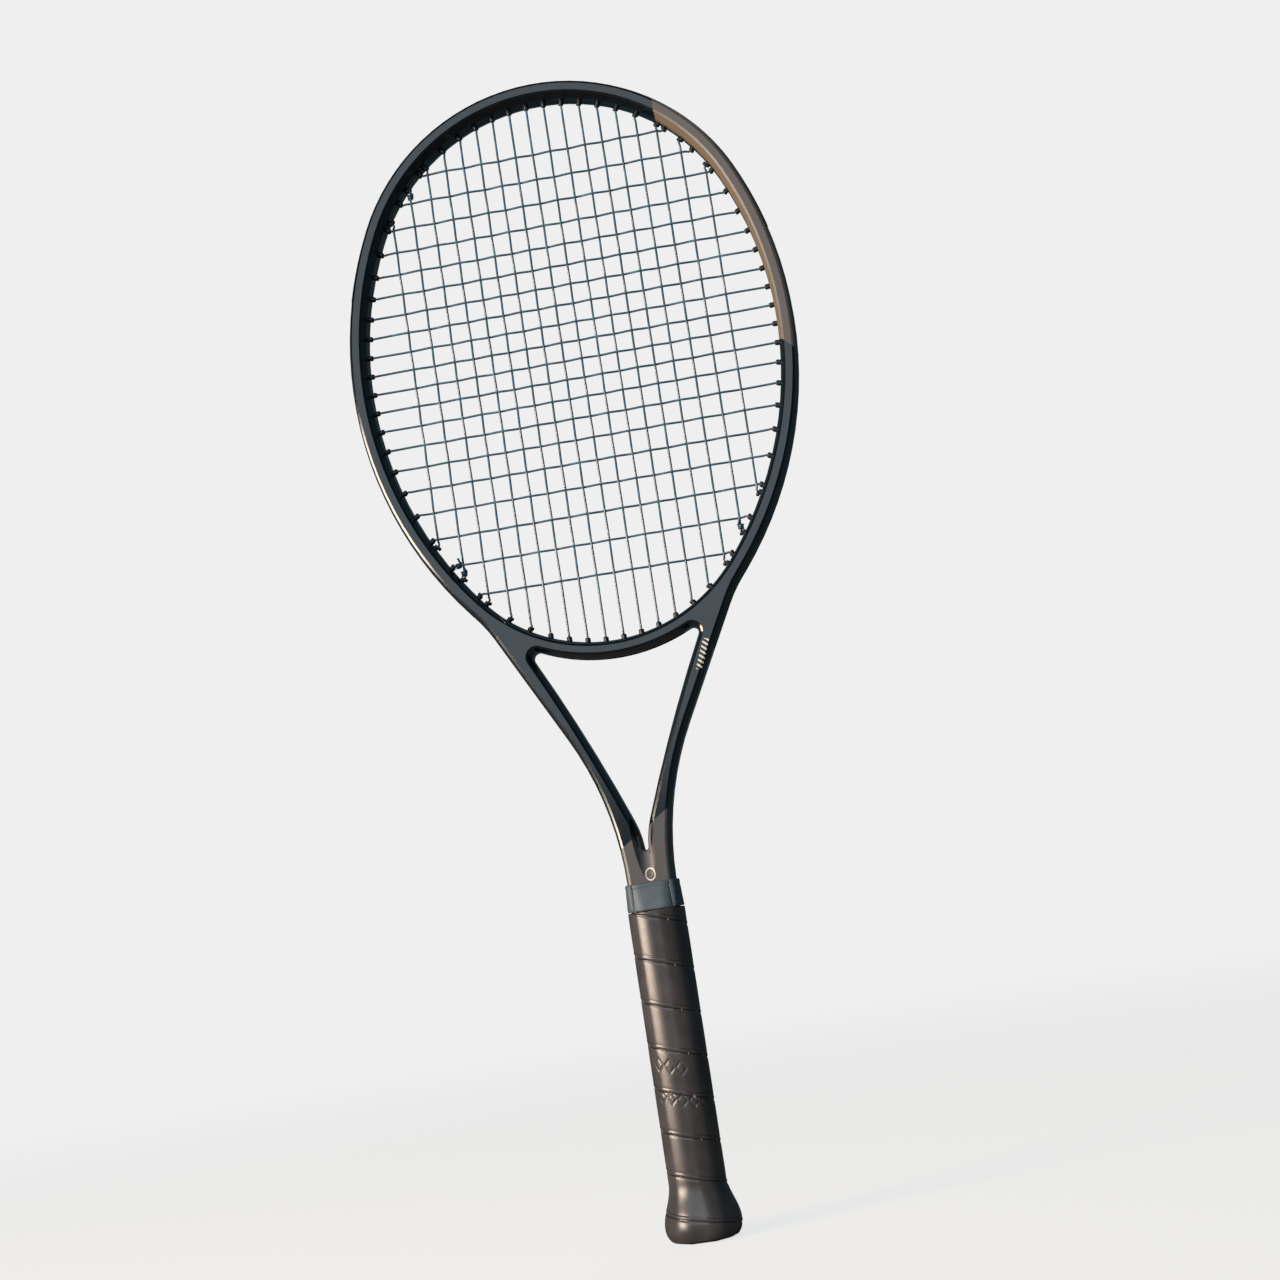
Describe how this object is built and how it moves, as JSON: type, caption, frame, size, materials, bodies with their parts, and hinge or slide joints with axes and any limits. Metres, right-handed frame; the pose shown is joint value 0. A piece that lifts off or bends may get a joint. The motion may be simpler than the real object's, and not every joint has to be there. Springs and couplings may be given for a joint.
{
  "type": "tennis racket",
  "caption": "Strung tennis racket with an oval hoop, open throat, bridge, bumper guard, wrapped octagonal handle, sliding rubber collar and butt door.",
  "frame": {"origin": "centre of the butt's end face, at the bottom of the handle", "axes": "+Z along the handle to the tip of the head, X across the face, Y through the face, the front of the racket towards -Y"},
  "size_m": [0.2664, 0.0404, 0.685],
  "materials": {
    "frame_gloss": "gloss lacquer over carbon laminate, with satin graphite panels",
    "guard_nylon": "satin moulded nylon",
    "string_poly": "smooth slate-blue polyester",
    "pallet_foam": "moulded polyurethane foam",
    "cap_plastic": "moulded, fine texture",
    "staple_steel": "bright wire",
    "grip_leather": "smooth tanned strip, spirally wound",
    "collar_rubber": "matte"
  },
  "bodies": {
    "racket": {"hairpin": "frame_gloss", "bridge": "frame_gloss", "bumper_guard": "guard_nylon", "grommets_left": "guard_nylon", "grommets_right": "guard_nylon", "grommets_bridge": "guard_nylon", "main_string": "string_poly", "cross_string": "string_poly", "knot_low_left": "string_poly", "knot_low_right": "string_poly", "knot_high_left": "string_poly", "knot_cross_left": "string_poly", "pallet_front": "pallet_foam", "pallet_back": "pallet_foam", "butt_cap": "cap_plastic", "staple_front": "staple_steel", "staple_back": "staple_steel", "grip": "grip_leather"},
    "collar": {"collar": "collar_rubber"},
    "butt_door": {"butt_door": "cap_plastic"}
  },
  "joints": [
    {"name": "collar_slide", "type": "slide", "parent": "racket", "child": "collar", "axis": [0, 0, 1], "range_m": [0, 0.005]},
    {"name": "butt_door_slide", "type": "slide", "parent": "racket", "child": "butt_door", "axis": [0, 0, -1], "range_m": [0, 0.01]}
  ]
}
